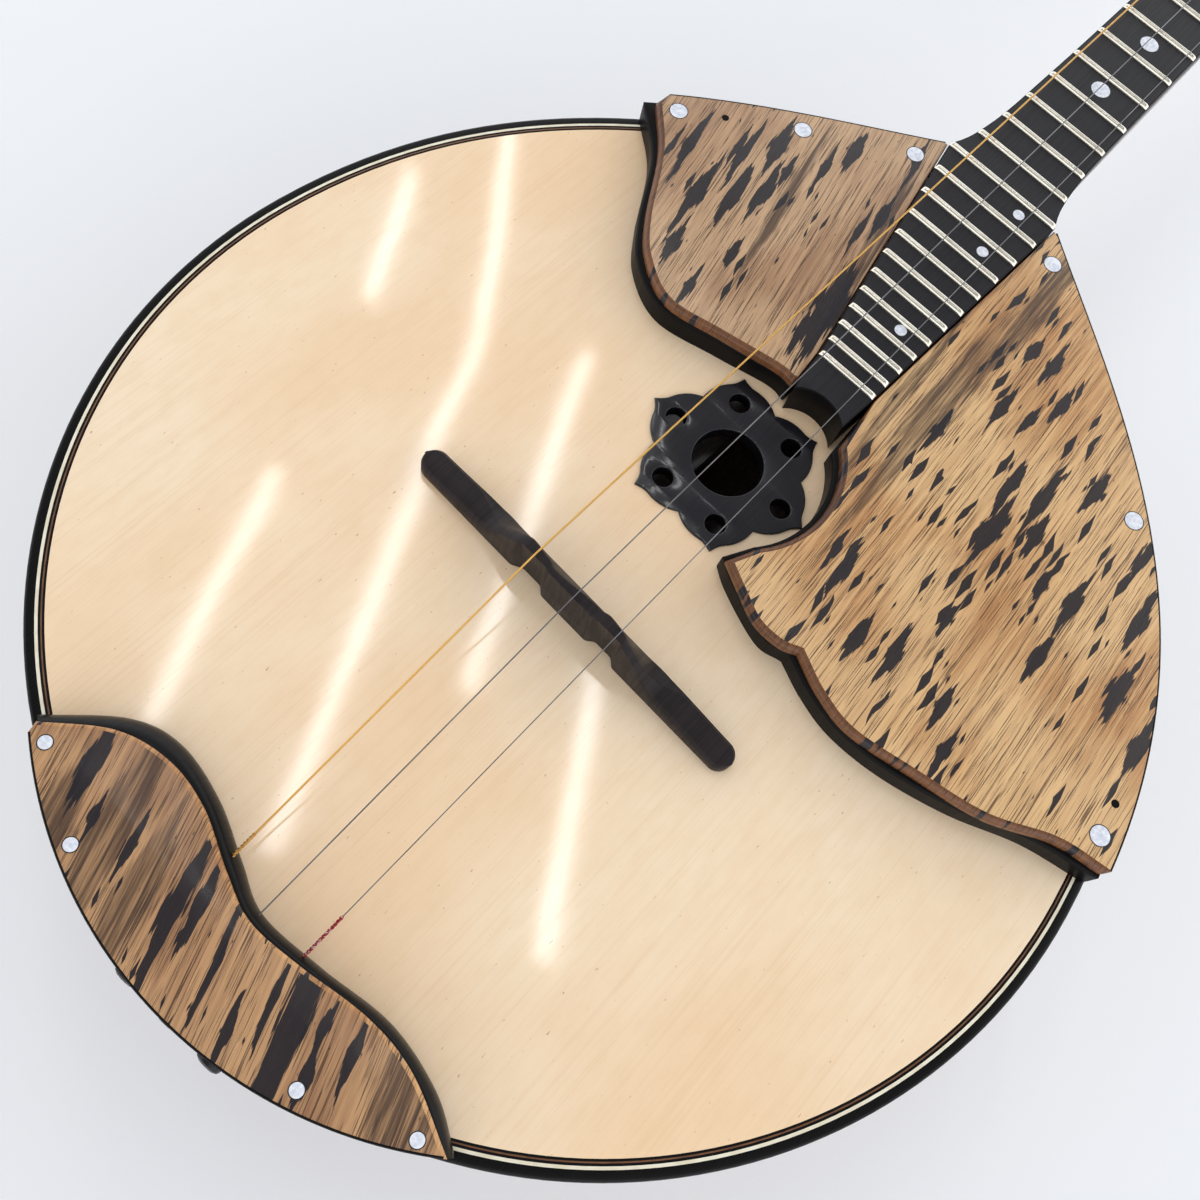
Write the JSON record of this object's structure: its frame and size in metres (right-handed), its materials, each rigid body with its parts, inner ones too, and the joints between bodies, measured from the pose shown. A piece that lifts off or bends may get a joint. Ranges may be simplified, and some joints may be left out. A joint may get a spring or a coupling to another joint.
{
  "type": "three-string domra",
  "caption": "Small plucked string instrument with a ribbed bowl back, round flat top, raised wooden guards, fretted neck and geared tuners.",
  "frame": {"origin": "centre of the flat facet on the bowl's middle rib, under the centre of the round body, where the instrument rests on its back", "axes": "+X to the treble side, +Y along the neck towards the head, +Z out of the soundboard towards the player"},
  "size_m": [0.2412, 0.6368, 0.1132],
  "materials": {
    "spruce": "pale cream spruce under a high gloss lacquer",
    "ebony": "near-black ebony, satin",
    "pale_moon_ebony": "golden brown with black flecks along the grain, satin lacquer",
    "rib_wood": "red-brown hardwood, gloss lacquer; assumed, out of view",
    "neck_wood": "brown hardwood, satin lacquer; assumed, out of view",
    "inside_wood": "bare pale wood; assumed, out of view",
    "white_line": "thin ivory line",
    "bone": "polished bone colour; assumed, out of view",
    "pearl": "white pearl dots; in the visual model only",
    "silk": "red silk wound on the treble string's end; in the visual model only",
    "steel_wire": "bare plain steel wire",
    "bronze_wire": "gold-coloured wound wire",
    "nickel": "nickel silver, polished; assumed, out of view",
    "brass": "brass tuner parts, satin; assumed, out of view"
  },
  "bodies": {
    "instrument": {"bowl_rib_1": "rib_wood", "bowl_rib_2": "rib_wood", "bowl_rib_3": "rib_wood", "bowl_rib_4": "rib_wood", "bowl_rib_5": "rib_wood", "bowl_rib_6": "rib_wood", "bowl_rib_7": "rib_wood", "bowl_rib_8": "rib_wood", "bowl_rib_9": "rib_wood", "tail_cap": "ebony", "tail_block": "inside_wood", "tail_pin_bass": "ebony", "tail_pin_middle": "ebony", "tail_pin_treble": "ebony", "tail_saddle": "ebony", "neck_block": "inside_wood", "lining_treble": "inside_wood", "lining_bass": "inside_wood", "brace_tail": "inside_wood", "brace_middle": "inside_wood", "brace_neck": "inside_wood", "binding": "ebony", "purfling_white": "white_line", "purfling_black": "ebony", "soundboard": "spruce", "rosette": "ebony", "fingerboard": "ebony", "fingerboard_riser": "ebony", "guard_base_bass": "ebony", "guard_bass": "pale_moon_ebony", "guard_base_treble": "ebony", "guard_treble": "pale_moon_ebony", "tail_cover_base": "ebony", "tail_cover": "pale_moon_ebony", "bridge": "ebony", "neck": "neck_wood", "nut": "bone", "headstock": "neck_wood", "head_veneer": "ebony", "tuner_plate": "brass", "string_bass": "bronze_wire", "string_middle": "steel_wire", "string_treble": "steel_wire"},
    "key_bass": {"worm_shaft_bass": "brass", "button_bass": "bone"},
    "key_middle": {"worm_shaft_middle": "brass", "button_middle": "bone"},
    "key_treble": {"worm_shaft_treble": "brass", "button_treble": "bone"},
    "post_bass": {"post_bass": "nickel", "worm_wheel_bass": "brass", "string_coil_bass": "bronze_wire"},
    "post_middle": {"post_middle": "nickel", "worm_wheel_middle": "brass", "string_coil_middle": "steel_wire"},
    "post_treble": {"post_treble": "nickel", "worm_wheel_treble": "brass", "string_coil_treble": "steel_wire"}
  },
  "joints": [
    {"name": "bass_button_turn", "type": "hinge", "parent": "instrument", "child": "key_bass", "pos_m": [-0.007, 0.41334, 0.08046], "axis": [1, 0, 0], "continuous": true},
    {"name": "bass_post_turn", "type": "hinge", "parent": "instrument", "child": "post_bass", "pos_m": [-0.007, 0.42055, 0.07893], "axis": [0, 0.2079, 0.9781], "continuous": true},
    {"name": "middle_button_turn", "type": "hinge", "parent": "instrument", "child": "key_middle", "pos_m": [-0.007, 0.44073, 0.07464], "axis": [1, 0, 0], "continuous": true},
    {"name": "middle_post_turn", "type": "hinge", "parent": "instrument", "child": "post_middle", "pos_m": [-0.007, 0.44794, 0.07311], "axis": [0, 0.2079, 0.9781], "continuous": true},
    {"name": "treble_button_turn", "type": "hinge", "parent": "instrument", "child": "key_treble", "pos_m": [-0.007, 0.46811, 0.06882], "axis": [1, 0, 0], "continuous": true},
    {"name": "treble_post_turn", "type": "hinge", "parent": "instrument", "child": "post_treble", "pos_m": [-0.007, 0.47533, 0.06729], "axis": [0, 0.2079, 0.9781], "continuous": true}
  ],
  "couplings": [
    {"joint": "bass_post_turn", "follows": "bass_button_turn", "ratio": -0.066667},
    {"joint": "middle_post_turn", "follows": "middle_button_turn", "ratio": -0.066667},
    {"joint": "treble_post_turn", "follows": "treble_button_turn", "ratio": -0.066667}
  ]
}
